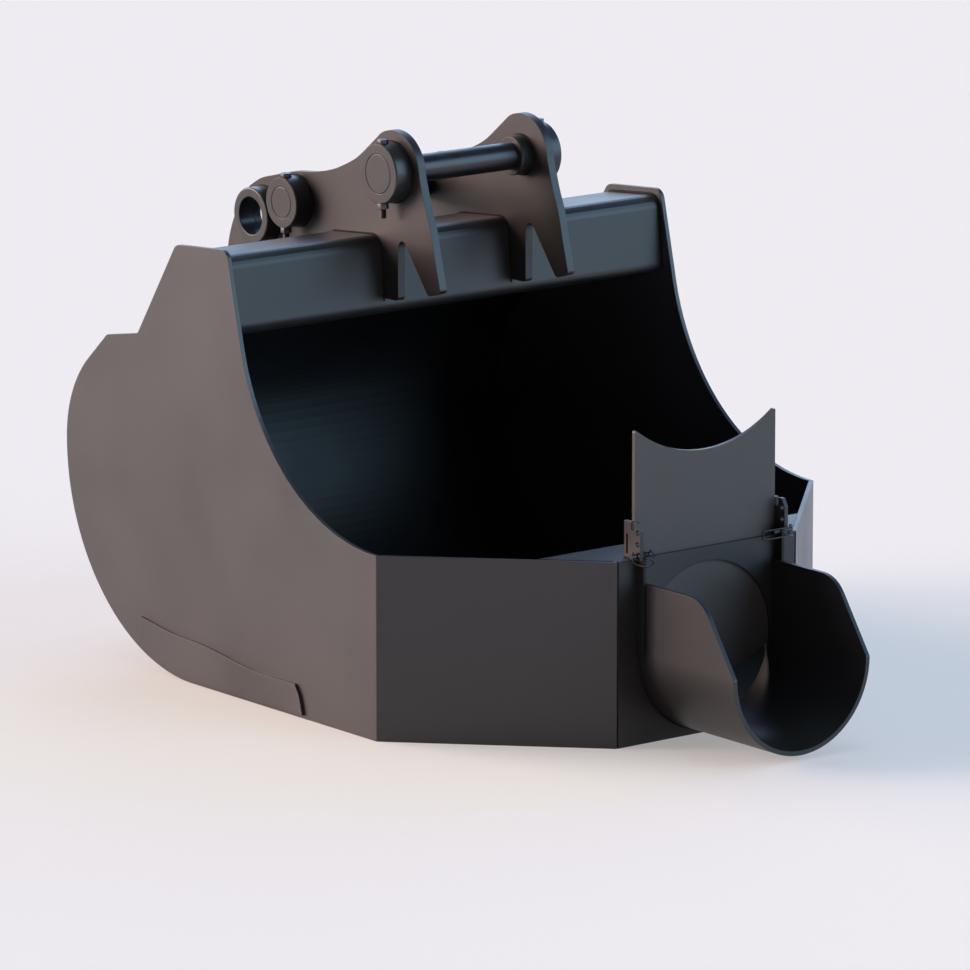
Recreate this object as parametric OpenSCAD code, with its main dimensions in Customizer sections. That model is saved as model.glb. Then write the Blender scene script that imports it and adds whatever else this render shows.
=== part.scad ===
// Concrete pouring bucket: a shovel with a gated round outlet and a discharge spout.
// Millimetres. X across, -Y towards the spout, +Z up; origin at the middle of the footprint.

/* [Body] */
// Width over the two side plates
body_w = 1000; // [800:10:1200]
// Side plate thickness
side_t = 8; // [5:1:14]
// Shell plate thickness: floor, heel and roof
shell_t = 8; // [5:1:9]
// How far the shell sits inside the side plate outline
shell_in = 8; // [5:1:8]
// Torsion box plate thickness
box_t = 8; // [5:1:10]
// Heel wear plate thickness
wear_t = 6; // [3:1:12]

/* [Nose and outlet] */
// How far the nose panel stands out from the side plates
nose_d = 301; // [250:1:360]
// Half width of the flat nose panel, without the corner grooves
nose_hw = 200; // [180:1:240]
// Nose height
nose_h = 334; // [331:1:337]
// Wing panel thickness
wing_t = 8; // [5:1:12]
// Nose panel thickness
panel_t = 6; // [4:1:8]
// Width of the groove at each nose corner
groove_w = 3; // [2:0.5:5]
// Depth of the groove
groove_d = 3; // [1:0.5:3.5]
// Radius of the outlet hole in the nose panel
outlet_r = 146; // [120:1:146]
// Height of the outlet centre above the ground
outlet_z = 163; // [162:1:166]
// How far the outlet flange's side strips stand out from the nose panel
flange_t = 19; // [17:0.5:20]
// Top of the outlet flange's side strips, above the ground
flange_top = 349; // [345:1:356]
// Spout wall thickness
spout_t = 8; // [5:0.5:9]
// Spout outer radius
spout_r = 154.3; // [154:0.1:156]
// Spout length in front of the flange
spout_l = 239; // [190:1:300]
// Height of the spout's side wall top edge
spout_top = 291; // [240:1:300]
// Flat length of the spout's side wall top edge
spout_flat = 150; // [80:1:160]

/* [Gate] */
// Gate plate thickness
gate_t = 8; // [6:0.5:10]
// Half width of the gate plate
gate_hw = 159; // [158:0.5:165]
// Height of the gate's top corners as it stands
gate_top = 562; // [520:1:600]
// How far the gate stands open
gate_rise = 80; // [60:1:100]
// Depth of the gate's hollow top edge, and of its round lower edge
gate_sag = 55; // [30:1:80]
// Gap round the gate in its guides
gate_gap = 0.5; // [0.4:0.1:1]
// Gate bracket thickness
brk_t = 8; // [6:0.5:12]
// Gate bracket top, above the ground
brk_top = 400; // [398:1:412]
// Back strap thickness
strap_t = 4; // [3:0.5:5]
// Gate guide: width over which it covers the gate's edge
guide_cover = 9; // [5:0.5:12]
// Lock pin radius
lock_r = 4.5; // [4:0.1:5]
// Radial play of a lock pin in its holes
lock_play = 0.05; // [0.03:0.01:0.08]
// Height of the lowest lock pin hole
lock_z = 342; // [341.5:0.5:344]
// Distance between the three lock pin holes
lock_pitch = 20.5; // [18:0.5:21]
// Wire radius of the lock pin bails
wire_r = 1.5; // [1:0.1:1.8]

/* [Hanger] */
// Clear gap between the two hanger plates
ear_gap = 276; // [240:1:320]
// Hanger plate thickness
ear_t = 16; // [10:1:25]
// Radius of the hanger's round head at the front pin
ear_r = 75; // [68:1:76]
// Front boss outer radius
fboss_r = 55; // [45:1:62]
// Front boss length outside the hanger plate
fboss_l = 35; // [25:1:45]
// Rear boss outer radius
rboss_r = 47; // [40:1:52]
// Rear boss length outside the hanger plate
rboss_l = 37; // [25:1:45]
// Lifting eye outer radius
eye_r = 52; // [46:1:56]
// Lifting eye bore radius
eye_bore = 35; // [28:0.5:40]
// Lifting eye length outside the hanger plate
eye_l = 33; // [20:1:40]

/* [Pins and bolts] */
// Hanger pin radius
pin_r = 25; // [20:0.5:25]
// Front sleeve outer radius
sleeve_r = 36; // [31:0.5:38]
// How far each front sleeve stands in from the hanger plate
sleeve_in = 25; // [15:1:40]
// Rear end cap radius
rcap_r = 29; // [27:0.5:34]
// End cap thickness
cap_t = 4; // [2:0.5:6]
// Rounding of the boss, eye, sleeve and cap rims
rim = 2; // [1:0.5:3]
// Distance of a retaining bolt from the boss's outer end
bolt_in = 11.5; // [11:0.5:16]
// Retaining bolt radius
bolt_r = 6; // [5:0.5:7]
// Radial clearance of a retaining bolt in its holes
bolt_gap = 0.5; // [0.3:0.1:1]
// Bolt head width across flats
head_af = 18; // [16:1:20]
// Bolt head height
head_h = 8; // [6:0.5:12]
// Nut height
nut_h = 11; // [8:0.5:13]
// Bolt end standing out of the nut
bolt_end = 17; // [2:0.5:20]

/* [Hidden] */
$fn = 64;
eps = 0.01;
hw = body_w / 2;                    // outer face of a side plate
xi = hw - side_t;                   // inner face of a side plate
// side outline, as (y, z) with y = 0 at the side plates' front edge
heel_r = 386;
heel_c = [543, heel_r];             // heel centre
scoop_c = [0, 738];                 // centre of the hollow front curve
scoop_r = 405;
front_h = scoop_c[1] - scoop_r;
heel_a1 = 1.5;                      // the heel runs from straight down to this angle
cham_a = 48;                        // then a tighter curve turns it to the chamfer's angle
scoop_a1 = 76;                      // the hollow curve covers this angle
step = 3;                           // curve step, degrees
function arc(c, r, a0, a1, n) = [for (i = [0:n]) let (a = a0 + (a1 - a0) * i / n)
  [c[0] + r * cos(a), c[1] + r * sin(a)]];
function unit(v) = v / norm(v);
// a corner at q between p and s, rounded with radius r
function round_pt(p, q, s, r, n = 6) =
  let (a = unit(p - q), b = unit(s - q), h = acos(a * b) / 2, t = r / tan(h),
       c = q + unit(a + b) * (r / sin(h)),
       p0 = q + a * t - c, p1 = q + b * t - c,
       a0 = atan2(p0[1], p0[0]), da = atan2(p1[1], p1[0]) - a0,
       d = da > 180 ? da - 360 : (da < -180 ? da + 360 : da))
  arc(c, r, a0, a0 + d, n);
function flat(l) = [for (a = l) for (b = a) b];
// a polyline moved sideways by d, to the right of its direction of travel
function shift(p, d) = [for (i = [0:len(p) - 1])
  let (u = i == 0 ? unit(p[1] - p[0]) : unit(p[i] - p[i - 1]),
       v = i == len(p) - 1 ? u : unit(p[i + 1] - p[i]),
       m = unit([u[1] + v[1], -u[0] - v[0]]), k = m * [u[1], -u[0]])
  p[i] + m * (d / k)];
function rev(p) = [for (i = [len(p) - 1:-1:0]) p[i]];
// smooth curve through the points
function cr(p, n = 5) = [for (i = [0:len(p) - 2]) for (j = [0:n - 1 + (i == len(p) - 2 ? 1 : 0)])
  let (t = j / n, a = p[max(i - 1, 0)], b = p[i], c = p[i + 1], d = p[min(i + 2, len(p) - 1)])
  0.5 * ((2 * b) + (c - a) * t + (2 * a - 5 * b + 4 * c - d) * t * t
         + (3 * b - a - 3 * c + d) * t * t * t)];

side_ledge = heel_c + heel_r / 386 * [257, 215]; // rear end of the ledge
side_in = side_ledge + [-95, 17];   // where the rear slope meets the ledge
side_tr = side_ledge + [-214, 197]; // top rear corner
side_tf = side_ledge + [-367, 209]; // top front corner
scoop_end = scoop_c + scoop_r * [sin(scoop_a1), -cos(scoop_a1)];
heel_p = heel_c + heel_r * [cos(heel_a1), sin(heel_a1)];
cham_n = [cos(cham_a), sin(cham_a)];
tail_r = (cham_n * (side_ledge - heel_p)) / (1 - cos(cham_a - heel_a1));
tail_c = heel_p - tail_r * [cos(heel_a1), sin(heel_a1)];
heel = concat(arc(heel_c, heel_r, -90, heel_a1, round((90 + heel_a1) / step)),
  arc(tail_c, tail_r, heel_a1 + step, cham_a, round((cham_a - heel_a1) / step) - 1));
scoop = arc(scoop_c, scoop_r, -90 + scoop_a1, -90, round(scoop_a1 / step));
side_top_r = 21;
side_in_r = 10;
ledge_r = 10;
tail_e = heel[len(heel) - 1];
side_pts = flat([[[0, 0]], heel,
  round_pt(tail_e, side_ledge, side_in, ledge_r), round_pt(side_ledge, side_in, side_tr, side_in_r),
  round_pt(side_in, side_tr, side_tf, side_top_r), round_pt(side_tr, side_tf, scoop_end, side_top_r),
  scoop]);

// shell: floor, heel, chamfer and straight roof up to the torsion box's folded lip
roof_k = (side_in[1] - side_ledge[1]) / (side_in[0] - side_ledge[0]);
lip_y = side_ledge[0] - 376;
lap_y = lip_y + 70;
roof_end_y = lap_y + (shell_in + shell_t) * -roof_k / norm([1, roof_k]) + 0.05;
roof_end = [roof_end_y, side_ledge[1] + roof_k * (roof_end_y - side_ledge[0])];
shell_path = flat([[[0, 0]], heel, round_pt(tail_e, side_ledge, side_in, shell_in + shell_t + 8),
  [roof_end]]);
shell_out = shift(shell_path, -shell_in);
shell_inn = shift(shell_path, -shell_in - shell_t);
floor_z = shell_in;
function roof_z(y) = shell_out[len(shell_out) - 1][1] + roof_k * (y - shell_out[len(shell_out) - 1][0]);

// torsion box: one folded plate, its lip butted to the roof's end and its rear edge on the roof
box_in = 13;                        // behind the side plates' front edge
box_lip_y = lip_y;
box_tf = [side_tf[0] + 4, side_tf[1] - box_in + 1];
box_tr = [side_tr[0] - 5, side_tr[1] - box_in];
box_rr = [side_in[0] - 16, roof_z(side_in[0] - 16)];
box_lip = [box_lip_y, roof_z(box_lip_y)];
box_lap = [lap_y, roof_z(lap_y) - shell_t];
box_r = 24;
lip_r = 16;
box_path = flat([[box_lap], round_pt(box_lap, box_lip, box_tf, lip_r),
  round_pt(box_lip, box_tf, box_tr, box_r), round_pt(box_tf, box_tr, box_rr, box_r), [box_rr]]);

// nose
fy = -nose_d;                       // nose panel outer face
corner_x = nose_hw + groove_w;      // where wing and nose panel meet
wing_dx = hw - corner_x;
wing_n = unit([nose_d, -wing_dx]);
wing_sx = wing_t / wing_n[0];       // wing thickness measured along X
wing_sy = wing_t / -wing_n[1];      // wing thickness measured along Y
function wing_x(y) = corner_x + (y - fy) * wing_dx / nose_d - wing_sx;
deck_t = 8;
deck_y = fy + 105;                  // inner edge of the deck
panel_back = fy + panel_t;

// outlet, flange, spout
flange_y = fy - flange_t;
spout_in = spout_r - spout_t;
spout_end = flange_y - spout_l;
spout_knee = flange_y - spout_flat;
strip_top = max(flange_top, lock_z + lock_r + lock_play + 2);
spout_low = outlet_z - spout_r - 1;
knee_r = 65;                        // upper corner of the spout's side walls
knee_low_r = 8;                     // lower corner

// gate
gate_y0 = panel_back + gate_gap;    // front face
gate_y1 = gate_y0 + gate_t;
gate_z0 = floor_z + shell_t + gate_gap + gate_rise; // middle of its round lower edge
gate_r = (gate_hw * gate_hw + gate_sag * gate_sag) / (2 * gate_sag);
gate_half_a = asin(gate_hw / gate_r);
gate_corner = 3;
guide_x = gate_hw + 1;              // inner side of guides and brackets
guide_w = 12;
guide_y1 = gate_y1 + gate_gap;
guide_cover_t = 6;
strap_y = guide_y1;
strap_top = 384;
spot_d = 1.5;                       // depth of the flats under the bolt heads and nuts
spot_r = head_af / sqrt(3) + 0.4;
tab_z = [342, 377];
tab_gap = 0.1;
tab_in = 5;                         // tab end, inside the bracket's outer face
brk_front = fy - 19;
brk_back = strap_y + strap_t + 6;
brk_ch = [8, 14];                   // front chamfer
notch = [fy - 2, fy + 6];           // notch in the bracket's top edge
notch_d = 15;
lock_y = fy - 12;
lock_out = 14;                      // pin beyond the bracket, outside
lock_in = 20;                       // pin beyond the bracket, inside
lock_head_r = 7;
lock_head_t = 3;

// bail: a wire loop through the pin's outer end, lying in front of the bracket
bail_x0 = guide_x + brk_t + 10;     // axis of the cross hole
bail_out = 12;                      // how far the loop stands off in front of the pin axis
bail_in = 72;                       // reach of the loop inwards from the cross hole
bail_h = 8;                         // half height of the loop
bail_gap = 0.3;

// hanger: plate outline, (y, z)
pin_f = side_ledge + [-402, 317];   // front pin axis
pin_b = side_ledge + [-115, 224];   // rear pin axis
eye_c = side_ledge + [-16, 185];    // lifting eye axis
ear_x0 = ear_gap / 2;
ear_x1 = ear_x0 + ear_t;
ear_head = arc(pin_f, ear_r, 60, 170, 30);
ear_front = cr([[322, 917], [306, 866], [290, 826], [277, 775], [264, 728]]);
prong = [[261, 717], [297, 705.5]]; // lower corners of the front foot
foot = [385, 684];                  // front corner of the rear foot
ear_cut = flat([[[362, 789]], arc([372, 784], 11, 148, 12, 8), [[foot[0], 779]]]);
ear_legs = flat([round_pt(ear_front[len(ear_front) - 1], prong[0], prong[1], 7),
  round_pt(prong[0], prong[1], ear_cut[0], 9), ear_cut,
  round_pt(ear_cut[len(ear_cut) - 1], foot, [470, foot[1]], 8), [[470, foot[1]]]]);
ear_low = [[470, 600], [700, 500], [850, 470], [905, 470]];
ear_rear = cr([[905, 560], [903, 650], [898, 712], [882, 760], [858, 800], [830, 832]]);
ear_back = cr([[830, 832], [795, 851], [752, 863], [696, 877], [645, 883], [608, 890], [571, 900],
  [534, 915], [503, 931], [472, 954]]);
// the outline is drawn with the ledge's end at (800, 601) and moves with it
function at_ledge(l) = [for (p = l) p + side_ledge - [800, 601]];
ear_pts = flat([at_ledge(flat([ear_front, ear_legs, ear_low, ear_rear, ear_back])), ear_head]);

sleeve_fit = 0.05;
fx0 = ear_x1;
fx1 = ear_x1 + fboss_l;
rx1 = ear_x1 + rboss_l;
fcap_x = fx1 - cap_t;
rcap_x = rx1 - cap_t;
bolt_off = max(bolt_in, cap_t + bolt_r + bolt_gap + 0.5);
fbolt_x = fx1 - bolt_off;
rbolt_x = rx1 - bolt_off;

// heel wear plate outline, (y, z)
wear_in = 7;                        // inside the side plate's lower edge
wear_top = cr([[231, 60], [356, 61], [497, 78], [582, 82], [644, 89], [696, 97]]);
wear_low = arc(heel_c, heel_r - wear_in, -64.5, -90, 9);
wear_pts = flat([wear_top, wear_low, [[209, wear_in]], round_pt([209, wear_in], [219, 42], [231, 60], 6)]);

y_back = heel_c[0] + heel_r;
y_shift = -(y_back + spout_end) / 2;

module put() translate([0, y_shift, 0]) children();
module flip(s) mirror([s < 0 ? 1 : 0, 0, 0]) children();
// a (y, z) outline made solid from x0 to x1
module yz(x0, x1) translate([x0, 0, 0]) rotate([90, 0, 90]) linear_extrude(x1 - x0) children();
// a cylinder along X
module cx(x0, x1, r, c) translate([x0, c[0], c[1]]) rotate([0, 90, 0]) cylinder(h = x1 - x0, r = r);
// the same with a slanted rim at the x1 end
module turned(x0, x1, r, c, k) translate([x0, c[0], c[1]]) rotate([0, 90, 0])
  rotate_extrude() polygon([[0, 0], [r, 0], [r, x1 - x0 - k], [r - k, x1 - x0], [0, x1 - x0]]);
// a bore of radius r, opening out by k at its x1 end
module bored(x0, x1, r, c, k) translate([x0, c[0], c[1]]) rotate([0, 90, 0]) rotate_extrude()
  polygon([[0, -1], [r, -1], [r, x1 - x0 - k], [r + k + 1, x1 - x0 + 1], [0, x1 - x0 + 1]]);
module cz(x, y, z0, z1, r) translate([x, y, z0]) cylinder(h = z1 - z0, r = r);
// an (x, z) outline made solid from y0 to y1
module xz(y0, y1) translate([0, y1, 0]) rotate([90, 0, 0]) linear_extrude(y1 - y0) children();

module side_plate(s) put() flip(s) yz(xi, hw) polygon(side_pts);
module left_side_plate() color("#2b2c2f") side_plate(-1);
module right_side_plate() color("#2b2c2f") side_plate(1);

module shell_plate() color("#2d2e31") put() yz(-xi, xi)
  polygon(concat(shell_out, rev(shell_inn)));

module torsion_box() color("#2b2c2f") put() yz(-xi, xi) difference() {
  polygon(concat(box_path, rev(shift(box_path, box_t))));
  polygon([[lap_y, roof_z(lap_y)], [side_ledge[0], roof_z(side_ledge[0])],
    [side_ledge[0], roof_z(side_ledge[0]) - 90], [lap_y, roof_z(side_ledge[0]) - 90]]);
}

module wing(s) put() flip(s) linear_extrude(nose_h - 1)
  polygon([[hw, 0], [corner_x, fy], [corner_x, fy + wing_sy], [hw - wing_sx, 0]]);
module left_wing_panel() color("#2b2c2f") wing(-1);
module right_wing_panel() color("#2b2c2f") wing(1);

module front_panel() color("#2b2c2f") put() difference() {
  linear_extrude(nose_h) polygon([[-nose_hw, fy], [nose_hw, fy], [nose_hw, fy + groove_d],
    [corner_x, fy + groove_d], [corner_x, panel_back], [-corner_x, panel_back],
    [-corner_x, fy + groove_d], [-nose_hw, fy + groove_d]]);
  translate([0, panel_back + 1, outlet_z]) rotate([90, 0, 0]) cylinder(h = panel_t + 2, r = outlet_r);
}

module nose_plan(y1) {
  k = fy + wing_sy;
  polygon([[-wing_x(y1), y1], [-corner_x, k], [-corner_x, panel_back],
    [corner_x, panel_back], [corner_x, k], [wing_x(y1), y1]]);
}
module nose_floor() color("#2d2e31") put() translate([0, 0, floor_z]) linear_extrude(shell_t)
  nose_plan(0);

module nose_deck() color("#2b2c2f") put() translate([0, 0, nose_h - deck_t]) linear_extrude(deck_t)
  difference() {
    nose_plan(deck_y);
    translate([-guide_x, panel_back - 1]) square([2 * guide_x, guide_y1 - panel_back + 1]);
  }

// two strips outside the spout's walls, with the lock pins' holes
module outlet_flange() color("#2b2c2f") put() for (s = [-1, 1]) flip(s) difference() {
  translate([spout_r, flange_y, outlet_z]) cube([guide_x - spout_r, flange_t, strip_top - outlet_z]);
  cx(spout_r - 1, guide_x + 1, lock_r + lock_play, [lock_y, lock_z]);
}

module discharge_spout() color("#2e2f31") put() intersection() {
  xz(spout_end, fy) difference() {
    union() {
      translate([0, outlet_z]) circle(r = spout_r);
      translate([-spout_r, outlet_z]) square([2 * spout_r, spout_top - outlet_z]);
    }
    translate([0, outlet_z]) circle(r = spout_in);
    translate([-spout_in, outlet_z]) square([2 * spout_in, spout_top]);
  }
  yz(-spout_r - 1, spout_r + 1) polygon(flat([[[fy + 1, spout_low], [fy + 1, spout_top]],
    round_pt([fy + 1, spout_top], [spout_knee, spout_top], [spout_end, outlet_z], knee_r),
    round_pt([spout_knee, spout_top], [spout_end, outlet_z], [spout_end, spout_low], knee_low_r),
    [[spout_end, spout_low]]]));
}

// its lower edge is as round as its top edge is hollow
module gate_plate() color("#2f3033") put() xz(gate_y0, gate_y1) difference() {
  polygon(flat([arc([0, gate_z0 + gate_r], gate_r, -90 - gate_half_a, -90 + gate_half_a, 24),
    round_pt([gate_hw, gate_z0], [gate_hw, gate_top], [gate_hw - 40, gate_top - 30], gate_corner),
    round_pt([-gate_hw + 40, gate_top - 30], [-gate_hw, gate_top], [-gate_hw, gate_z0], gate_corner)]));
  translate([0, gate_top - gate_sag + gate_r]) circle(r = gate_r, $fn = 128);
}

module bracket(s) put() flip(s) difference() {
  yz(guide_x, guide_x + brk_t) difference() {
    polygon([[brk_back, nose_h], [brk_front, nose_h], [brk_front, brk_top - brk_ch[1]],
      [brk_front + brk_ch[0], brk_top], [notch[0], brk_top], [notch[0], brk_top - notch_d],
      [notch[1], brk_top - notch_d], [notch[1], brk_top], [brk_back, brk_top]]);
    translate([strap_y - tab_gap, tab_z[0] - tab_gap])
      square([strap_t + 2 * tab_gap, tab_z[1] - tab_z[0] + 2 * tab_gap]);
  }
  for (i = [0:2]) cx(guide_x - 1, guide_x + brk_t + 1, lock_r + lock_play, [lock_y, lock_z + i * lock_pitch]);
}
module left_gate_bracket() color("#2b2c2f") bracket(-1);
module right_gate_bracket() color("#2b2c2f") bracket(1);

module gate_back_strap() color("#2b2c2f") put() xz(strap_y, strap_y + strap_t) {
  translate([-guide_x, nose_h]) square([2 * guide_x, strap_top - nose_h]);
  translate([-guide_x - brk_t + tab_in, tab_z[0]])
    square([2 * (guide_x + brk_t - tab_in), tab_z[1] - tab_z[0]]);
}

module guide(s) put() flip(s) translate([0, 0, floor_z + shell_t])
  linear_extrude(nose_h - deck_t - floor_z - shell_t)
  polygon([[guide_x, panel_back], [guide_x + guide_w, panel_back],
    [guide_x + guide_w, guide_y1 + guide_cover_t], [gate_hw - guide_cover, guide_y1 + guide_cover_t],
    [gate_hw - guide_cover, guide_y1], [guide_x, guide_y1]]);
module left_gate_guide() color("#2b2c2f") guide(-1);
module right_gate_guide() color("#2b2c2f") guide(1);

module lock_pin(s) put() flip(s) difference() {
  union() {
    cx(guide_x - lock_in, guide_x + brk_t + lock_out, lock_r, [lock_y, lock_z]);
    cx(guide_x + brk_t + 0.5, guide_x + brk_t + 0.5 + lock_head_t, lock_head_r, [lock_y, lock_z]);
  }
  cz(bail_x0, lock_y, lock_z - 20, lock_z + 20, wire_r + bail_gap);
}
module left_lock_pin() color("#45474b") lock_pin(-1);
module right_lock_pin() color("#45474b") lock_pin(1);

// one wire limb: cylinders with ball joints
module limb(p) for (i = [0:len(p) - 2]) {
  d = p[i + 1] - p[i];
  translate(p[i]) rotate([0, acos(d[2] / norm(d)), atan2(d[1], d[0])])
    cylinder(h = norm(d), r = wire_r, $fn = 16);
  if (i > 0) translate(p[i]) sphere(r = wire_r, $fn = 16);
}
module bail(s) put() flip(s) translate([0, lock_y, lock_z]) limb([
  [bail_x0, 0, -bail_h], [bail_x0, 0, bail_h], [bail_x0 - 3, -bail_out + 2, bail_h + 1],
  [bail_x0 - 12, -bail_out - 1, bail_h], [bail_x0 - bail_in + 8, -bail_out - 1, bail_h - 1],
  [bail_x0 - bail_in, -bail_out, 3], [bail_x0 - bail_in, -bail_out, -3],
  [bail_x0 - bail_in + 8, -bail_out - 1, -bail_h + 1], [bail_x0 - 12, -bail_out - 1, -bail_h],
  [bail_x0 - 3, -bail_out + 2, -bail_h - 1], [bail_x0, 0, -bail_h - 0.8]]);
module left_pin_bail() color("#4a4c50") bail(-1);
module right_pin_bail() color("#4a4c50") bail(1);

module ear(s) put() flip(s) difference() {
  yz(ear_x0, ear_x1) difference() {
    polygon(ear_pts);
    polygon(flat([box_path, [[box_rr[0], box_rr[1] - 60], [box_lap[0], box_lap[1] - 60]]]));
    polygon(flat([shell_out, [[roof_end[0] - 60, roof_z(roof_end[0] - 60)], [roof_end[0] - 60, 0]]]));
  }
  cx(ear_x0 - 1, ear_x1 + 1, sleeve_r, pin_f);
  cx(ear_x0 - 1, ear_x1 + 1, pin_r + sleeve_fit, pin_b);
  cx(ear_x0 - 1, ear_x1 + 1, eye_bore, eye_c);
}
module left_hanger_plate() color("#2b2c2f") ear(-1);
module right_hanger_plate() color("#2b2c2f") ear(1);

// the way of a retaining bolt down through a boss, with a flat at each end
module bolt_way(x, c, r) {
  cz(x, c[0], c[1] - r - 2, c[1] + r + 2, bolt_r + bolt_gap);
  cz(x, c[0], c[1] + r - spot_d, c[1] + r + 2, spot_r);
  cz(x, c[0], c[1] - r - 2, c[1] - r + spot_d, spot_r);
}
module front_boss(s) put() flip(s) difference() {
  turned(fx0, fx1, fboss_r, pin_f, rim);
  bored(fx0, fx1, sleeve_r, pin_f, rim / 2);
  bolt_way(fbolt_x, pin_f, fboss_r);
}
module left_front_boss() color("#2b2c2f") front_boss(-1);
module right_front_boss() color("#2b2c2f") front_boss(1);

module rear_boss(s) put() flip(s) difference() {
  turned(fx0, rx1, rboss_r, pin_b, rim);
  cx(fx0 - 1, rx1 + 1, pin_r + sleeve_fit, pin_b);
  bored(rcap_x + 1, rx1, rcap_r, pin_b, rim / 2);
  bolt_way(rbolt_x, pin_b, rboss_r);
}
module left_rear_boss() color("#2b2c2f") rear_boss(-1);
module right_rear_boss() color("#2b2c2f") rear_boss(1);

module eye(s) put() flip(s) difference() {
  turned(fx0, ear_x1 + eye_l, eye_r, eye_c, rim);
  cx(fx0 - 1, ear_x1 + eye_l + 1, eye_bore, eye_c);
}
module left_lifting_eye() color("#2b2c2f") eye(-1);
module right_lifting_eye() color("#2b2c2f") eye(1);

module sleeve(s) put() flip(s) difference() {
  union() {
    mirror([1, 0, 0]) turned(-ear_x0 - 1, sleeve_in - ear_x0, sleeve_r, pin_f, rim);
    cx(ear_x0, fcap_x, sleeve_r, pin_f);
  }
  cx(ear_x0 - sleeve_in - 1, fcap_x + 1, pin_r + sleeve_fit, pin_f);
  cz(fbolt_x, pin_f[0], pin_f[1] - fboss_r, pin_f[1] + fboss_r, bolt_r + bolt_gap);
}
module left_front_sleeve() color("#3a3b3e") sleeve(-1);
module right_front_sleeve() color("#3a3b3e") sleeve(1);

module front_pin() color("#3c3e42") put() difference() {
  cx(-fcap_x, fcap_x, pin_r, pin_f);
  for (s = [-1, 1]) cz(s * fbolt_x, pin_f[0], pin_f[1] - 40, pin_f[1] + 40, bolt_r + bolt_gap);
}
module rear_pin() color("#3c3e42") put() difference() {
  cx(-rcap_x, rcap_x, pin_r, pin_b);
  for (s = [-1, 1]) cz(s * rbolt_x, pin_b[0], pin_b[1] - 40, pin_b[1] + 40, bolt_r + bolt_gap);
}
module front_pin_caps() color("#2b2c2f") put() for (s = [-1, 1]) flip(s)
  turned(fcap_x, fx1, sleeve_r, pin_f, rim / 2);
module rear_pin_caps() color("#2b2c2f") put() for (s = [-1, 1]) flip(s)
  turned(rcap_x, rx1, rcap_r, pin_b, rim / 2);

// a hexagon with two flats across X
module hex(x, y, z, h) translate([x, y, z]) rotate([0, 0, 30])
  cylinder(h = h, r = head_af / sqrt(3), $fn = 6);
module bolt(x, c, r) {
  hex(x, c[0], c[1] + r - spot_d, head_h);
  cz(x, c[0], c[1] - r + spot_d - nut_h - bolt_end, c[1] + r - spot_d, bolt_r);
}
module nut(x, c, r) difference() {
  hex(x, c[0], c[1] - r + spot_d - nut_h, nut_h);
  cz(x, c[0], c[1] - r + spot_d - nut_h - 1, c[1] - r + spot_d + 1, bolt_r);
}
module front_pin_bolts() color("#3a3c40") put() for (s = [-1, 1]) bolt(s * fbolt_x, pin_f, fboss_r);
module rear_pin_bolts() color("#3a3c40") put() for (s = [-1, 1]) bolt(s * rbolt_x, pin_b, rboss_r);
module front_pin_nuts() color("#3a3c40") put() for (s = [-1, 1]) nut(s * fbolt_x, pin_f, fboss_r);
module rear_pin_nuts() color("#3a3c40") put() for (s = [-1, 1]) nut(s * rbolt_x, pin_b, rboss_r);

module wear(s) put() flip(s) yz(hw, hw + wear_t) polygon(wear_pts);
module left_heel_wear_plate() color("#2d2e31") wear(-1);
module right_heel_wear_plate() color("#2d2e31") wear(1);

left_side_plate();
right_side_plate();
shell_plate();
torsion_box();
left_wing_panel();
right_wing_panel();
front_panel();
nose_floor();
nose_deck();
outlet_flange();
discharge_spout();
gate_plate();
left_gate_bracket();
right_gate_bracket();
gate_back_strap();
left_gate_guide();
right_gate_guide();
left_lock_pin();
right_lock_pin();
left_pin_bail();
right_pin_bail();
left_hanger_plate();
right_hanger_plate();
left_front_boss();
right_front_boss();
left_rear_boss();
right_rear_boss();
left_lifting_eye();
right_lifting_eye();
left_front_sleeve();
right_front_sleeve();
front_pin();
rear_pin();
front_pin_caps();
rear_pin_caps();
front_pin_bolts();
rear_pin_bolts();
front_pin_nuts();
rear_pin_nuts();
left_heel_wear_plate();
right_heel_wear_plate();
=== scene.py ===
import math
import random

import bmesh
import bpy
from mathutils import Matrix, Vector


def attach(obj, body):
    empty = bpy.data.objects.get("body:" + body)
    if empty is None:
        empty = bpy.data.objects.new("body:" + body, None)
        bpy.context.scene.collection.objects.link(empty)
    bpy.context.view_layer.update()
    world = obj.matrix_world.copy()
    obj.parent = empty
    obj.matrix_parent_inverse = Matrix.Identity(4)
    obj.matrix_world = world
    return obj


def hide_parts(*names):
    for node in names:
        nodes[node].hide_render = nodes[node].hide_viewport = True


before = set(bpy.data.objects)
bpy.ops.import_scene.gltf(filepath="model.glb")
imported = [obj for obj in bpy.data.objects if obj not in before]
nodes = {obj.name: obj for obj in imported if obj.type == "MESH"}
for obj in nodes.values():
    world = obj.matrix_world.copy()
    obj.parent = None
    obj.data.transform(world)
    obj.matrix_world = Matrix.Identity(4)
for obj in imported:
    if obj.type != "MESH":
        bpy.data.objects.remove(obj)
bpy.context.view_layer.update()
bpy.ops.object.select_all(action="DESELECT")

# ---- places on the bucket, in metres, from its source ----
SHIFT = -0.185                       # y of the side plates' front edge
PLATE_X = 0.492                      # inner face of a side plate
EAR_IN, EAR_OUT = 0.138, 0.154       # inner and outer face of a hanger plate
PIN_FRONT = (0.398 + SHIFT, 0.918)   # (y, z) of an axis
PIN_REAR = (0.685 + SHIFT, 0.825)
EYE = (0.784 + SHIFT, 0.786)
OUTLET_Z = 0.163                     # height of the outlet's and the spout's axis
SPOUT_R = 0.1543                     # outer radius of the spout
LOCK_Y, LOCK_Z = -0.313 + SHIFT, 0.342
CROSS_X = 0.178                      # cross hole of a lock pin
NOSE_FACE, FLANGE_FACE = -0.486, -0.505
DECK_TOP = 0.334
STRAP_BACK, STRAP_HALF = -0.467, 0.156

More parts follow.
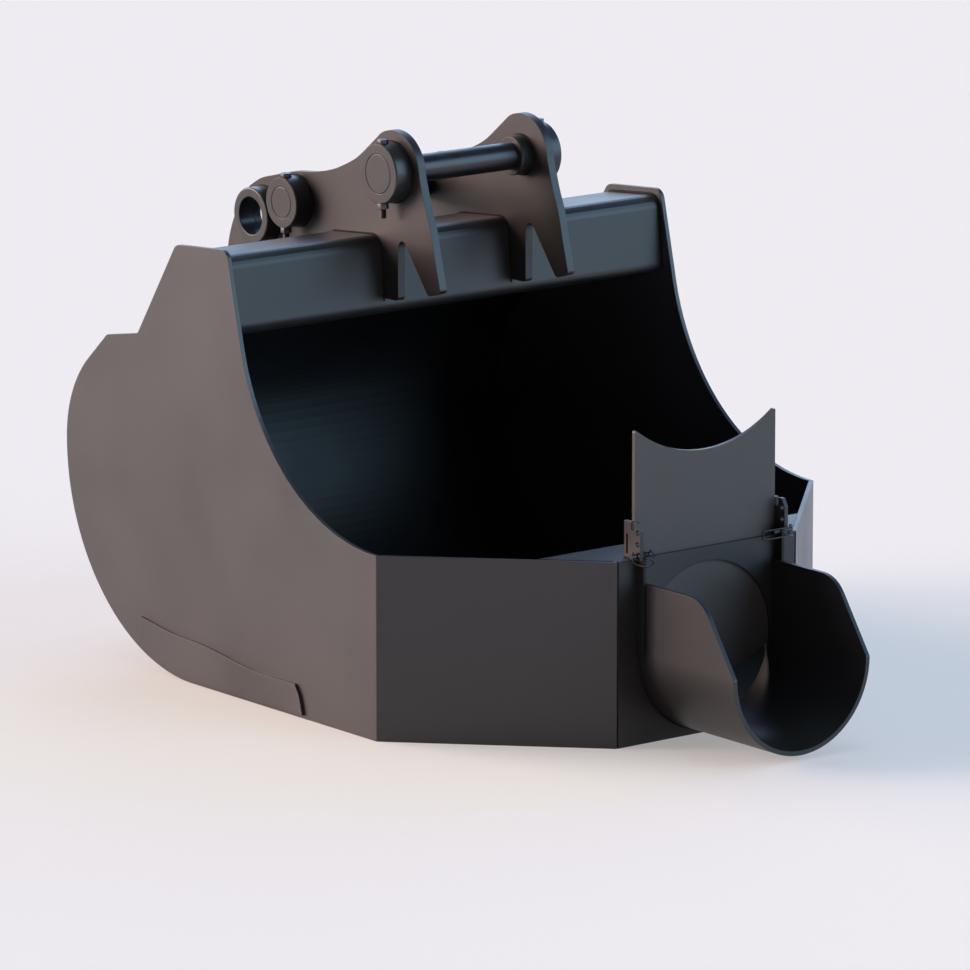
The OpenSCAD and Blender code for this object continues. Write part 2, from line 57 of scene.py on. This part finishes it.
# (y, z) seen from the side, with y from the side plates' front edge
LEDGE = (0.800, 0.5935)              # corner behind the box
BOX_LIP, BOX_FOOT = (0.4235, 0.664), (0.690, 0.6140)
BOX_TOP = ((0.4362, 0.7990), (0.5814, 0.7860))
BOX_CORNER = 0.025                   # outer radius of the box's folds
EAR_FOOT = (0.4247, 0.678)           # lower end of the hanger plate's rear foot
FLOOR_START = 0.03
HEEL, TAIL, TAIL_R = (0.543, 0.386), (0.71705, 0.39056), 0.2119
HEEL_ARC, TAIL_ARC = (-90, 1.5), (5, 48)
EAR_ARC = (48, 26)                   # part of the tail that the hanger plate stands on

# ---- sizes of the weld beads ----
RIPPLE = 0.0030                      # from one ripple to the next
RIPPLE_DIP = 0.86                    # every second ripple is this much thinner
RIPPLE_SPREAD = (0.93, 1.07)
BEAD_END = 0.45                      # thickness of a bead's two ends
FLOOR = 0.0072                       # middle of the lowest beads above the ground
SHELL_BEAD, BOX_BEAD = 0.0028, 0.0030
EAR_BEAD, EAR_TAIL_BEAD = 0.0016, 0.0032
BOSS_BEAD, SLEEVE_BEAD = 0.0021, 0.0026
BRACKET_BEAD, SPOUT_BEAD, STRAP_BEAD = 0.0020, 0.0018, 0.0022
# how far a bead's middle stands off the plate that it runs along
OFF_SIDE, OFF_EAR, OFF_BOSS = 0.001, 0.0006, 0.0008
OFF_SPOUT, OFF_NOSE, OFF_BRACKET, OFF_STRAP = 0.0006, 0.0008, 0.0003, 0.0004
BOSS_RINGS = ((PIN_FRONT, 0.0552), (PIN_REAR, 0.0472), (EYE, 0.0522))
SLEEVE_RING = 0.0365
BRACKET_X = 0.1685                   # outer foot of a gate bracket
BRACKET_RUN = (0.021, 0.043)         # ends of its bead, behind the flange's face

# ---- sizes of bolts, nuts and wire ----
HEX_R, BOLT_R, THREAD, PITCH = 0.0103, 0.006, 0.030, 0.00175
THREAD_ROOT, TIP_TAPER = 0.86, 0.8
HEAD_CHAMFER, NUT_WALL = 0.0006, 0.0038
HEAD_ROUND, NUT_ROUND = 0.0005, 0.0007
WIRE_R, WIRE_BEND = 0.0015, 0.0028

# ---- camera and floor ----
PHOTO_PX, FOCAL_PX, SENSOR = 970, 8149.97, 36
CAMERA_AT = (-8.9055, -10.9931 + SHIFT, 3.4899)
CAMERA_DOWN, CAMERA_TURN = 12.352, -38.188
PALE = (0.95, 0.92, 0.92, 1)
PALE_SHARE = 0.35                    # how much of its own tone the floor shows

hand = random.Random(7)


# ---- finishes ----
def node(tree, kind, x, y, **values):
    n = tree.nodes.new(kind)
    n.location = (x, y)
    for name, value in values.items():
        if hasattr(n, name):
            setattr(n, name, value)
        else:
            n.inputs[name.replace("_", " ")].default_value = value
    return n


def remap(tree, x, y, start, end, **values):
    """A Map Range node from the two values of start to the two of end."""
    n = node(tree, "ShaderNodeMapRange", x, y, **values)
    for socket, value in zip(("From Min", "From Max", "To Min", "To Max"), (*start, *end)):
        n.inputs[socket].default_value = value
    return n


def new_finish(name):
    mat = bpy.data.materials.new(name)
    mat.use_nodes = True
    tree = mat.node_tree
    tree.nodes.clear()
    out = node(tree, "ShaderNodeOutputMaterial", 900, 0)
    shader = node(tree, "ShaderNodeBsdfPrincipled", 600, 0)
    tree.links.new(shader.outputs[0], out.inputs[0])
    return mat, tree, shader


def satin_paint(name, dark, light, rough, peel=0.10, soft_edge=0.0012, shine=0.5):
    """Dark satin paint: a faint cloudiness, orange peel and softened edges."""
    mat, tree, shader = new_finish(name)
    link = tree.links.new
    place = node(tree, "ShaderNodeTexCoord", -1200, 0)
    cloud = node(tree, "ShaderNodeTexNoise", -900, 300, Scale=5.0, Detail=4.0, Roughness=0.55)
    grain = node(tree, "ShaderNodeTexNoise", -900, 0, Scale=420.0, Detail=2.0)
    wave = node(tree, "ShaderNodeTexNoise", -900, -300, Scale=9.0, Detail=1.0)
    for n in (cloud, grain, wave):
        link(place.outputs["Object"], n.inputs["Vector"])
    tone = node(tree, "ShaderNodeMixRGB", -500, 300, Color1=(*dark, 1), Color2=(*light, 1))
    spread = remap(tree, -700, 300, (0.35, 0.65), (0.0, 1.0))
    link(cloud.outputs[0], spread.inputs[0])
    link(spread.outputs[0], tone.inputs["Fac"])
    edge = node(tree, "ShaderNodeBevel", -900, -600, Radius=soft_edge)
    edge.samples = 4
    gloss = remap(tree, -500, 0, (0.3, 0.7), (rough - 0.05, rough + 0.05))
    link(cloud.outputs[0], gloss.inputs[0])
    low = node(tree, "ShaderNodeBump", -300, -300, Strength=0.05, Distance=0.004)
    high = node(tree, "ShaderNodeBump", -100, -300, Strength=peel, Distance=0.0004)
    link(wave.outputs[0], low.inputs["Height"])
    link(edge.outputs[0], low.inputs["Normal"])
    link(grain.outputs[0], high.inputs["Height"])
    link(low.outputs[0], high.inputs["Normal"])
    link(tone.outputs[0], shader.inputs["Base Color"])
    link(gloss.outputs[0], shader.inputs["Roughness"])
    link(high.outputs[0], shader.inputs["Normal"])
    shader.inputs["Specular IOR Level"].default_value = shine
    return mat


def dark_steel(name, colour, rough, grain):
    """Blackened steel with a fine grain, which is rings across the axis on a turned pin."""
    mat, tree, shader = new_finish(name)
    link = tree.links.new
    place = node(tree, "ShaderNodeTexCoord", -1200, 0)
    squeeze = node(tree, "ShaderNodeMapping", -1000, 0)
    squeeze.inputs["Scale"].default_value = grain
    rings = node(tree, "ShaderNodeTexNoise", -700, 0, Scale=1.0, Detail=2.0)
    cloud = node(tree, "ShaderNodeTexNoise", -700, 300, Scale=30.0, Detail=3.0)
    link(place.outputs["Object"], squeeze.inputs["Vector"])
    link(squeeze.outputs[0], rings.inputs["Vector"])
    link(place.outputs["Object"], cloud.inputs["Vector"])
    tone = node(tree, "ShaderNodeMixRGB", -300, 300,
                Color1=(*[c * 0.75 for c in colour], 1), Color2=(*colour, 1))
    link(cloud.outputs[0], tone.inputs["Fac"])
    bump = node(tree, "ShaderNodeBump", -300, -200, Strength=0.12, Distance=0.0003)
    link(rings.outputs[0], bump.inputs["Height"])
    gloss = remap(tree, -300, 0, (0.3, 0.7), (rough - 0.06, rough + 0.06))
    link(cloud.outputs[0], gloss.inputs[0])
    link(tone.outputs[0], shader.inputs["Base Color"])
    link(gloss.outputs[0], shader.inputs["Roughness"])
    link(bump.outputs[0], shader.inputs["Normal"])
    shader.inputs["Metallic"].default_value = 0.85
    return mat


TURNED, PLAIN = (900, 8, 8), (60, 60, 60)
body_paint = satin_paint("body paint", (0.039, 0.037, 0.040), (0.045, 0.043, 0.046), 0.40)
# the body paint made much darker for the shell's inside and the nose floor: painted shade of the deep
# interior
shaded_inside_paint = satin_paint("inside paint with painted shade", (0.009, 0.009, 0.010), (0.013, 0.012, 0.014), 0.50)
# the body paint made lighter and warmer for the gate plate: painted light on the gate's face
lit_gate_paint = satin_paint("gate paint with painted light", (0.054, 0.046, 0.042), (0.060, 0.051, 0.047), 0.44, 0.06)
# a darker copy of the body paint for bosses, eyes, sleeves and pin caps: painted shade around them;
# the lower roughness is the finish's own
shaded_boss_paint = satin_paint("boss paint with painted shade", (0.024, 0.023, 0.023), (0.029, 0.028, 0.028), 0.34, 0.05)
# near-black weld with little shine: partly the joints' own dark colour, partly painted shade along
# the joints
weld_and_shade_paint = satin_paint("weld paint with painted shade", (0.010, 0.010, 0.011), (0.014, 0.013, 0.014), 0.66, 0.15,
                         0.0003, 0.12)
# a darker copy of the body paint for the torsion box: painted shade
shaded_box_paint = satin_paint("box paint with painted shade", (0.024, 0.021, 0.020), (0.028, 0.025, 0.024), 0.40)
# a much darker copy of the body paint for hanger plates and gate brackets: painted shade where the
# side plate and box hide them from the light
shaded_hanger_paint = satin_paint("hanger paint with painted shade", (0.015, 0.012, 0.011), (0.019, 0.016, 0.015), 0.41)
# a much darker copy of the body paint for the spout, front panel and nose deck: painted shade,
# chiefly the spout's shadow on the front panel
shaded_spout_paint = satin_paint("spout paint with painted shade", (0.014, 0.012, 0.012), (0.018, 0.016, 0.016), 0.43)
pin_steel = dark_steel("pin steel", (0.065, 0.06, 0.062), 0.35, TURNED)
bolt_steel = dark_steel("bolt steel", (0.12, 0.12, 0.13), 0.42, PLAIN)
wire_steel = dark_steel("wire steel", (0.045, 0.045, 0.05), 0.30, PLAIN)
# the darkest, least shiny copy of the body paint for the outlet flange: painted shade at the spout's
# root
shaded_flange_paint = satin_paint("flange paint with painted shade", (0.008, 0.008, 0.009), (0.012, 0.011, 0.012), 0.60,
                           shine=0.30)

# which part takes which copy of the one paint; the darker and lighter copies are painted shade and
# painted light
FINISH = {
    "left_gate_bracket": shaded_hanger_paint, "right_gate_bracket": shaded_hanger_paint,
    "left_hanger_plate": shaded_hanger_paint, "right_hanger_plate": shaded_hanger_paint,
    "torsion_box": shaded_box_paint,
    "discharge_spout": shaded_spout_paint, "front_panel": shaded_spout_paint, "nose_deck": shaded_spout_paint,
    "outlet_flange": shaded_flange_paint,
    "shell_plate": shaded_inside_paint, "nose_floor": shaded_inside_paint,
    "gate_plate": lit_gate_paint,
    "front_pin": pin_steel, "rear_pin": pin_steel,
    "left_lock_pin": wire_steel, "right_lock_pin": wire_steel,
    "left_pin_bail": wire_steel, "right_pin_bail": wire_steel,
    "front_pin_bolts": bolt_steel, "rear_pin_bolts": bolt_steel,
    "front_pin_nuts": bolt_steel, "rear_pin_nuts": bolt_steel,
}
for name, piece in nodes.items():
    finish = FINISH.get(name, body_paint)
    # bosses, eyes, sleeves and caps take the darker copy, which is painted shade
    if any(part in name for part in ("boss", "eye", "sleeve", "caps")):
        finish = shaded_boss_paint
    piece.data.materials.clear()
    piece.data.materials.append(finish)


# ---- tools of the hand ----
def take(piece):
    """Select one piece alone and make it the active one."""
    bpy.ops.object.select_all(action="DESELECT")
    piece.select_set(True)
    bpy.context.view_layer.objects.active = piece


def begin_edit(piece, mode="VERT"):
    take(piece)
    bpy.ops.object.mode_set(mode="EDIT")
    bpy.ops.mesh.select_mode(type=mode)
    bpy.ops.mesh.select_all(action="DESELECT")


def end_edit():
    bpy.ops.object.mode_set(mode="OBJECT")


def pick_faces(piece, test):
    """Select the faces of an open piece that pass the test."""
    form = bmesh.from_edit_mesh(piece.data)
    for face in form.faces:
        face.select_set(test(face))
    form.select_flush_mode()
    bmesh.update_edit_mesh(piece.data)


def round_edges(piece, width):
    """Bevel the edges where the faces turn by more than 30 degrees."""
    take(piece)
    edge = piece.modifiers.new("edge", "BEVEL")
    edge.width, edge.segments, edge.limit_method = width, 2, "ANGLE"
    edge.angle_limit = math.radians(30)
    bpy.ops.object.modifier_apply(modifier=edge.name)


def fit(piece, name, body, finish, instead_of=None, smooth=35):
    """Bring a finished piece home: place in its mesh, smooth shading, finish and body."""
    take(piece)
    bpy.ops.object.transform_apply(location=True, rotation=True, scale=True)
    bpy.ops.object.shade_smooth_by_angle(angle=math.radians(smooth))
    piece.name = piece.data.name = name
    piece.data.materials.clear()
    piece.data.materials.append(finish)
    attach(piece, body)
    if instead_of:
        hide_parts(instead_of)
    return piece


def joined(parts):
    take(parts[0])
    for part in parts:
        part.select_set(True)
    if len(parts) > 1:
        bpy.ops.object.join()
    return bpy.context.object


# ---- plates and turned parts with their edges broken ----
def broken_edges(name, body, width):
    """A copy of a plate or turned part with its sharp edges taken off, as the grinder leaves them."""
    source = nodes[name]
    piece = bpy.data.objects.new(name + "_rounded", source.data.copy())
    bpy.context.scene.collection.objects.link(piece)
    begin_edit(piece)
    bpy.ops.mesh.select_all(action="SELECT")
    bpy.ops.mesh.remove_doubles(threshold=0.00002)
    bpy.ops.mesh.dissolve_limited(angle_limit=math.radians(0.6))
    end_edit()
    round_edges(piece, width)
    fit(piece, name + "_rounded", body, source.data.materials[0], name, 20)
    # flat faces keep their own normal right up to the rounded edge
    flats = piece.modifiers.new("flats", "WEIGHTED_NORMAL")
    flats.keep_sharp = True
    bpy.ops.object.modifier_apply(modifier=flats.name)


# ---- lines for the weld beads ----
def corner(p, q, s, r, n=5):
    """Points of a corner at q between p and s, rounded with radius r."""
    p, q, s = Vector(p), Vector(q), Vector(s)
    a, b = (p - q).normalized(), (s - q).normalized()
    half = math.acos(max(-1, min(1, a.dot(b)))) / 2
    centre = q + (a + b).normalized() * (r / math.sin(half))
    reach = r / math.tan(half)
    start, end = q + a * reach - centre, q + b * reach - centre
    turn = start.angle_signed(end)
    points = []
    for i in range(n + 1):
        w = -turn * i / n
        points.append((centre[0] + start[0] * math.cos(w) - start[1] * math.sin(w),
                       centre[1] + start[0] * math.sin(w) + start[1] * math.cos(w)))
    return points


def ring(c, r, a0, a1, n):
    """Points of an arc about c, from a0 to a1 degrees."""
    return [(c[0] + r * math.cos(math.radians(a0 + (a1 - a0) * i / n)),
             c[1] + r * math.sin(math.radians(a0 + (a1 - a0) * i / n))) for i in range(n + 1)]


def round_about(x, c, r, n):
    """A closed ring of n points about c, at one x."""
    return [(x, *p) for p in ring(c, r, 0, 360, n)[:-1]]


def seen_from_side(x, outline):
    """An outline of the side view, with y from the side plates' front edge, at one x."""
    return [(x, y + SHIFT, z) for y, z in outline]


def evenly(points, step):
    """The same line with points a fixed step apart."""
    points = [Vector(p) for p in points]
    line, left = [points[0]], step
    for a, b in zip(points, points[1:]):
        length, at = (b - a).length, 0.0
        while length - at >= left:
            at += left
            line.append(a.lerp(b, at / length))
            left = step
        left -= length - at
    if (line[-1] - points[-1]).length > step * 0.3:
        line.append(points[-1])
    return line


# ---- weld beads ----
def round_bar(points, radius, sides, closed=False):
    """A round bar along a line of (place, thickness), as a mesh."""
    bpy.ops.curve.primitive_bezier_curve_add(radius=0.01, location=(0, 0, 0))
    bar = bpy.context.object.data
    bar.splines.clear()
    spline = bar.splines.new("POLY")
    spline.points.add(len(points) - 1)
    for point, (spot, thickness) in zip(spline.points, points):
        point.co = (*spot, 1)
        point.radius = thickness
    spline.use_cyclic_u = closed
    bar.dimensions = "3D"
    bar.bevel_depth = radius
    bar.bevel_resolution = sides
    bar.use_fill_caps = not closed
    bpy.ops.object.convert(target="MESH")
    return bpy.context.object


def bead(points, radius, closed=False):
    """One run of weld: a round bead laid ripple by ripple along a line."""
    line = evenly(points + points[:1] if closed else points, RIPPLE)
    if closed and (line[-1] - line[0]).length < RIPPLE * 0.8:
        line.pop()
    thickness = [(1.0 if i % 2 else RIPPLE_DIP) * hand.uniform(*RIPPLE_SPREAD)
                 for i in range(len(line))]
    if not closed:
        thickness[0] = thickness[-1] = BEAD_END
    return round_bar(list(zip(line, thickness)), radius, 1, closed)


def weld(name, runs):
    return fit(joined([bead(*run) for run in runs]), name, "bucket", weld_and_shade_paint,
               smooth=80)


def welds():
    box_front = corner(BOX_LIP, BOX_TOP[0], BOX_TOP[1], BOX_CORNER)
    box_rear = corner(BOX_TOP[0], BOX_TOP[1], BOX_FOOT, BOX_CORNER)
    over_box = [BOX_LIP] + box_front + box_rear + [BOX_FOOT]
    under = [(FLOOR_START, FLOOR)] + ring(HEEL, HEEL[1] - FLOOR, *HEEL_ARC, 40)
    behind = under + ring(TAIL, TAIL_R - FLOOR, *TAIL_ARC, 10) + [LEDGE, BOX_FOOT]
    ear_front = [EAR_FOOT] + over_box[1:]
    ear_rear = [BOX_FOOT, LEDGE] + ring(TAIL, TAIL_R - FLOOR, *EAR_ARC, 5)
    for side, s in (("left", -1), ("right", 1)):
        plate = s * (PLATE_X - OFF_SIDE)
        weld(side + "_side_plate_welds", [(seen_from_side(plate, behind), SHELL_BEAD),
                                          (seen_from_side(plate, over_box), BOX_BEAD)])
        runs = [(seen_from_side(s * x, ear_front), EAR_BEAD)
                for x in (EAR_IN - OFF_EAR, EAR_OUT + OFF_EAR)]
        runs += [(seen_from_side(s * x, ear_rear), EAR_TAIL_BEAD)
                 for x in (EAR_IN - OFF_SIDE, EAR_OUT + OFF_SIDE)]
        weld(side + "_hanger_welds", runs)
        runs = [(round_about(s * (EAR_OUT + OFF_BOSS), c, r, 60), BOSS_BEAD, True)
                for c, r in BOSS_RINGS]
        runs.append((round_about(s * (EAR_IN - OFF_BOSS), PIN_FRONT, SLEEVE_RING, 48),
                     SLEEVE_BEAD, True))
        weld(side + "_boss_welds", runs)
        weld(side + "_gate_frame_welds",
             [([(s * BRACKET_X, FLANGE_FACE + y, DECK_TOP + OFF_BRACKET) for y in BRACKET_RUN],
               BRACKET_BEAD)])
    r = SPOUT_R + OFF_SPOUT
    trough = [(-SPOUT_R - OFF_SPOUT, OUTLET_Z)] + ring((0, OUTLET_Z), r, 180, 360, 60)
    weld("spout_root_weld", [([(x, NOSE_FACE - OFF_NOSE, z) for x, z in trough], SPOUT_BEAD)])
    weld("strap_weld", [([(x, STRAP_BACK + OFF_STRAP, DECK_TOP + OFF_STRAP)
                          for x in (-STRAP_HALF, STRAP_HALF)], STRAP_BEAD)])


# ---- bolts and nuts ----
def hexagon(x, y, low, high):
    bpy.ops.mesh.primitive_cylinder_add(vertices=6, radius=HEX_R, depth=high - low,
                                        end_fill_type="NGON", location=(x, y, (low + high) / 2))
    return bpy.context.object


def bolt(x, y, head_top, head_under, tip):
    """Hexagon head with its corners turned off, shank, and a run of thread at the end."""
    head = hexagon(x, y, head_under, head_top)
    begin_edit(head, "FACE")
    pick_faces(head, lambda f: f.normal.z > 0.9)
    bpy.ops.mesh.inset(thickness=HEAD_CHAMFER)
    end_edit()
    round_edges(head, HEAD_ROUND)
    bpy.ops.mesh.primitive_cylinder_add(vertices=24, radius=BOLT_R, depth=head_under - tip - THREAD,
                                        location=(x, y, (head_under + tip + THREAD) / 2))
    shank = bpy.context.object
    begin_edit(shank, "FACE")
    pick_faces(shank, lambda f: f.normal.z < -0.9)
    turns = round(THREAD / PITCH)
    for size in (THREAD_ROOT, 1 / THREAD_ROOT) * turns:
        bpy.ops.mesh.extrude_region_move(TRANSFORM_OT_translate={"value": (0, 0, -PITCH / 2)})
        bpy.ops.transform.resize(value=(size, size, 1), center_override=(x, y, tip))
    rest = THREAD - turns * PITCH
    bpy.ops.mesh.extrude_region_move(TRANSFORM_OT_translate={"value": (0, 0, -rest)})
    bpy.ops.transform.resize(value=(TIP_TAPER, TIP_TAPER, 1), center_override=(x, y, tip))
    end_edit()
    return [head, shank]


def nut(x, y, low, high):
    """Hexagon nut, chamfered above and below, with its hole's edge."""
    body = hexagon(x, y, low, high)
    begin_edit(body, "FACE")
    pick_faces(body, lambda f: abs(f.normal.z) > 0.9)
    bpy.ops.mesh.inset(thickness=NUT_WALL)
    end_edit()
    round_edges(body, NUT_ROUND)
    return body


def fasteners():
    # pin, x, y, then heights: head's top and underside, tip, nut's underside and top
    for pin, x, y, z_head, z_under, z_tip, nut_low, nut_high in (
            ("front_pin", 0.1775, 0.213, 0.9795, 0.9715, 0.8365, 0.8535, 0.8645),
            ("rear_pin", 0.1795, 0.500, 0.8785, 0.8705, 0.7515, 0.7685, 0.7795)):
        bolts = [part for s in (-1, 1) for part in bolt(s * x, y, z_head, z_under, z_tip)]
        fit(joined(bolts), pin + "_hex_bolts", "bucket", bolt_steel,
            pin + "_bolts", 30)
        nuts = [nut(s * x, y, nut_low, nut_high) for s in (-1, 1)]
        fit(joined(nuts), pin + "_hex_nuts", "bucket", bolt_steel,
            pin + "_nuts", 30)


# ---- wire loops of the lock pins ----
def bent(knees, n=4):
    """A wire's line through its knees, each knee rounded."""
    knees = [Vector(k) for k in knees]
    line = [knees[0]]
    for a, q, b in zip(knees, knees[1:], knees[2:]):
        u, v = (a - q).normalized(), (b - q).normalized()
        reach = min(WIRE_BEND, (a - q).length * 0.45, (b - q).length * 0.45)
        for i in range(n + 1):
            t = i / n
            line.append((q + u * reach) * (1 - t) ** 2 + q * 2 * t * (1 - t)
                        + (q + v * reach) * t ** 2)
    return line + [knees[-1]]


def wire(side, x, knees):
    """One bent wire, its knees given from the middle of the pin's cross hole."""
    line = bent([(x + a, LOCK_Y + b, LOCK_Z + c) for a, b, c in knees])
    loop = round_bar([(spot, 1.0) for spot in line], WIRE_R, 3)
    fit(loop, side + "_wire_loop", side + "_bail", wire_steel,
        side + "_pin_bail", 60)


def wire_loops():
    wire("right", CROSS_X,
         [(0, 0, -0.009), (0, 0, 0.009), (-0.002, -0.011, 0.009), (-0.012, -0.0125, 0.0078),
          (-0.0715, -0.0125, 0.0078), (-0.0715, -0.0125, -0.0078), (-0.012, -0.0125, -0.0078),
          (-0.002, -0.011, -0.0092), (0, -0.0004, -0.0122)])
    # the left one is bent out of shape in the photograph
    wire("left", -CROSS_X,
         [(0, 0, 0.009), (0, 0, -0.010), (0.002, -0.011, -0.0125), (0.014, -0.0125, -0.0172),
          (0.028, -0.0125, -0.0185), (0.0385, -0.0125, -0.0135), (0.031, -0.0125, -0.0065),
          (0.016, -0.0125, -0.0035), (0.030, -0.0125, -0.0050), (0.0405, -0.0125, -0.0020),
          (0.0295, -0.0125, 0.0115), (0.0235, -0.0125, 0.0010)])


for side in ("left", "right"):
    for part, width in (("front_boss", 0.0012), ("rear_boss", 0.0012), ("lifting_eye", 0.0012),
                        ("front_sleeve", 0.0010), ("hanger_plate", 0.0010),
                        ("gate_bracket", 0.0005)):
        broken_edges(f"{side}_{part}", "bucket", width)
    broken_edges(f"{side}_lock_pin", f"{side}_lock", 0.0006)
for part in ("front_pin_caps", "rear_pin_caps"):
    broken_edges(part, "bucket", 0.0005)
fasteners()
wire_loops()
welds()


# ---- camera and light ----
def camera():
    bpy.ops.object.camera_add(
        location=CAMERA_AT,
        rotation=(math.radians(90 - CAMERA_DOWN), 0, math.radians(CAMERA_TURN)))
    cam = bpy.context.object
    cam.data.sensor_width = SENSOR
    cam.data.lens = FOCAL_PX / PHOTO_PX * SENSOR
    cam.data.clip_end = 100
    bpy.context.scene.camera = cam


def sun(name, toward, power, colour, spread):
    """A sun that stands in the direction toward, spread over so many degrees of the sky."""
    bpy.ops.object.light_add(type="SUN", location=toward)
    o = bpy.context.object
    o.name = name
    o.data.energy = power
    o.data.color = colour
    o.data.angle = math.radians(spread)
    o.rotation_euler = Vector(toward).to_track_quat("Z", "Y").to_euler()


def studio():
    """Warm light low from the left, some of it from behind, cool light low from the front
    right, a little blue from the right and from behind, and in the world a cool patch behind
    right for the box and the front pin to mirror."""
    world = bpy.data.worlds.new("studio")
    bpy.context.scene.world = world
    world.use_nodes = True
    tree = world.node_tree
    link = tree.links.new
    fill = tree.nodes["Background"]
    way = node(tree, "ShaderNodeTexCoord", -900, 0)
    facing = node(tree, "ShaderNodeVectorMath", -700, 0, operation="DOT_PRODUCT")
    facing.inputs[1].default_value = Vector((0.74, 0.62, 0.26)).normalized()
    patch = remap(tree, -500, 0, (0.88, 0.995), (0.0, 1.0), interpolation_type="SMOOTHSTEP")
    tone = node(tree, "ShaderNodeMixRGB", -300, 0,
                Color1=(0.070, 0.070, 0.080, 1), Color2=(1.5, 1.95, 2.4, 1))
    link(way.outputs["Generated"], facing.inputs[0])
    link(facing.outputs["Value"], patch.inputs[0])
    link(patch.outputs[0], tone.inputs["Fac"])
    link(tone.outputs[0], fill.inputs[0])
    sun("warm behind left", (-0.52, 0.80, 0.30), 4.4, (1.0, 0.79, 0.66), 45)
    sun("warm left", (-0.78, 0.55, 0.20), 1.6, (1.0, 0.74, 0.80), 30)
    sun("cool front right", (0.64, -0.74, 0.14), 2.9, (0.46, 0.75, 1.0), 60)
    sun("blue right", (0.95, 0.10, 0.30), 1.4, (0.06, 0.25, 1.0), 40)
    sun("above", (0.10, 0.10, 1.0), 0.5, (0.6, 0.85, 1.0), 40)
    sun("blue behind right", (0.45, 0.70, 0.60), 0.5, (0.3, 0.5, 1.0), 40)


def floor():
    """Pale floor; seen directly or mirrored it shows some of its own tone, and shadows stay."""
    bpy.ops.mesh.primitive_plane_add(size=90, location=(0, 0, 0))
    o = bpy.context.object
    o.name = "floor"
    mat, tree, shader = new_finish("floor")
    link = tree.links.new
    shader.inputs["Base Color"].default_value = (0.94, 0.88, 0.80, 1)
    shader.inputs["Roughness"].default_value = 0.9
    shader.inputs["Specular IOR Level"].default_value = 0.0
    glow = node(tree, "ShaderNodeEmission", 300, -300)
    glow.inputs[0].default_value = PALE
    path = node(tree, "ShaderNodeLightPath", 0, 300)
    seen = node(tree, "ShaderNodeMath", 200, 300, operation="MAXIMUM")
    share = node(tree, "ShaderNodeMath", 400, 300, operation="MULTIPLY")
    share.inputs[1].default_value = PALE_SHARE
    mix = node(tree, "ShaderNodeMixShader", 700, 200)
    link(path.outputs["Is Camera Ray"], seen.inputs[0])
    link(path.outputs["Is Glossy Ray"], seen.inputs[1])
    link(seen.outputs[0], share.inputs[0])
    link(share.outputs[0], mix.inputs[0])
    link(shader.outputs[0], mix.inputs[1])
    link(glow.outputs[0], mix.inputs[2])
    link(mix.outputs[0], tree.nodes["Material Output"].inputs[0])
    o.data.materials.append(mat)


camera()
studio()
floor()
bpy.context.scene.view_settings.view_transform = "Standard"
